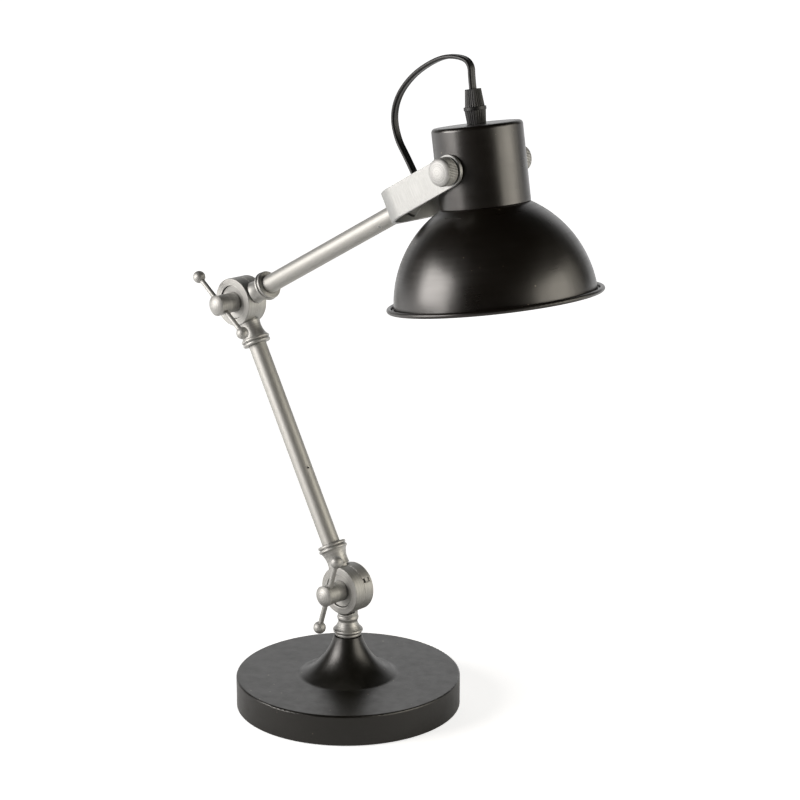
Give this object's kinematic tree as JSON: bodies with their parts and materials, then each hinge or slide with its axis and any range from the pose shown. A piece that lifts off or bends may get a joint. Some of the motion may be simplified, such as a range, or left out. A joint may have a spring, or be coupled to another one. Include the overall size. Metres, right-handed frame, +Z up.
{
  "type": "desk lamp",
  "caption": "Jointed desk lamp: round weighted base, tube arms on clamped knuckles with T-keys, and a domed shade that tilts in a fork, with a flex loop to its cord grip.",
  "frame": {"origin": "middle of the underside of the base, on the table", "axes": "+Z up, +X towards the head of the lamp, hinge axes along Y with the T-keys on the -Y side"},
  "size_m": [0.3336, 0.16, 0.4699],
  "materials": {
    "black_paint": "satin",
    "nickel": "satin nickel plate",
    "cast_iron": "as cast",
    "felt": "felt",
    "black_plastic": "matt",
    "white_insulator": "semi-matt",
    "brass": "bright",
    "fibre": "matt",
    "steel": "zinc plate",
    "flex": "satin"
  },
  "bodies": {
    "base": {"base_shell": "black_paint", "base_weight": "cast_iron", "base_pad": "felt", "inlet_bushing": "black_plastic", "stem_nipple": "steel", "stem_washer": "steel", "stem_nut": "steel", "seat_ring": "nickel", "base_collar": "nickel", "lower_rear_cheek": "nickel"},
    "lower_arm": {"lower_front_cheek": "nickel", "lower_stop_pin": "steel", "lower_friction_washer": "fibre", "lower_cup_washer": "nickel", "lower_coupling": "nickel", "lower_arm_tube": "nickel", "mid_coupling": "nickel", "upper_front_cheek": "nickel", "upper_stop_pin": "steel", "upper_friction_washer": "fibre", "upper_cup_washer": "nickel"},
    "upper_arm": {"upper_rear_cheek": "nickel", "upper_coupling": "nickel", "upper_arm_tube": "nickel", "yoke": "nickel", "yoke_stud": "nickel", "yoke_ring": "nickel", "yoke_grub_screw": "steel"},
    "shade": {"shade_neck": "black_paint", "shade_dome": "black_paint", "shade_ring": "black_plastic", "lampholder_body": "white_insulator", "lampholder_shell": "brass", "lampholder_contact": "brass", "grip_nipple": "steel", "grip_nut": "steel", "grip_body": "black_plastic", "grip_cap": "black_plastic", "near_pivot_bush": "steel", "far_pivot_bush": "steel", "cord_loop": "flex"},
    "lower_key": {"lower_key_bolt": "nickel", "lower_key_bar": "nickel", "lower_key_ball_top": "nickel", "lower_key_ball_foot": "nickel"},
    "upper_key": {"upper_key_bolt": "nickel", "upper_key_bar": "nickel", "upper_key_ball_top": "nickel", "upper_key_ball_foot": "nickel"},
    "near_thumb": {"near_thumb_screw": "nickel", "near_thumb_washer": "nickel"},
    "far_thumb": {"far_thumb_screw": "nickel", "far_thumb_washer": "nickel"}
  },
  "joints": [
    {"name": "lower_arm_tilt", "type": "hinge", "parent": "base", "child": "lower_arm", "pos_m": [0, 0, 0.0864], "axis": [0, 1, 0], "range_deg": [-20, 35]},
    {"name": "upper_arm_tilt", "type": "hinge", "parent": "lower_arm", "child": "upper_arm", "pos_m": [-0.10397, 0, 0.27949], "axis": [0, 1, 0], "range_deg": [-35, 30]},
    {"name": "shade_tilt", "type": "hinge", "parent": "upper_arm", "child": "shade", "pos_m": [0.12022, 0, 0.40121], "axis": [0, 1, 0], "range_deg": [-60, 10], "deforming": ["cord_loop"]},
    {"name": "lower_key_turn", "type": "hinge", "parent": "base", "child": "lower_key", "pos_m": [0, 0, 0.0864], "axis": [0, -1, 0], "range_deg": [0, 180]},
    {"name": "upper_key_turn", "type": "hinge", "parent": "upper_arm", "child": "upper_key", "pos_m": [-0.10397, 0, 0.27949], "axis": [0, -1, 0], "range_deg": [0, 180]},
    {"name": "near_thumb_turn", "type": "hinge", "parent": "shade", "child": "near_thumb", "pos_m": [0.12022, 0, 0.40121], "axis": [0, -1, 0], "range_deg": [0, 180]},
    {"name": "far_thumb_turn", "type": "hinge", "parent": "shade", "child": "far_thumb", "pos_m": [0.12022, 0, 0.40121], "axis": [0, 1, 0], "range_deg": [0, 180]}
  ]
}
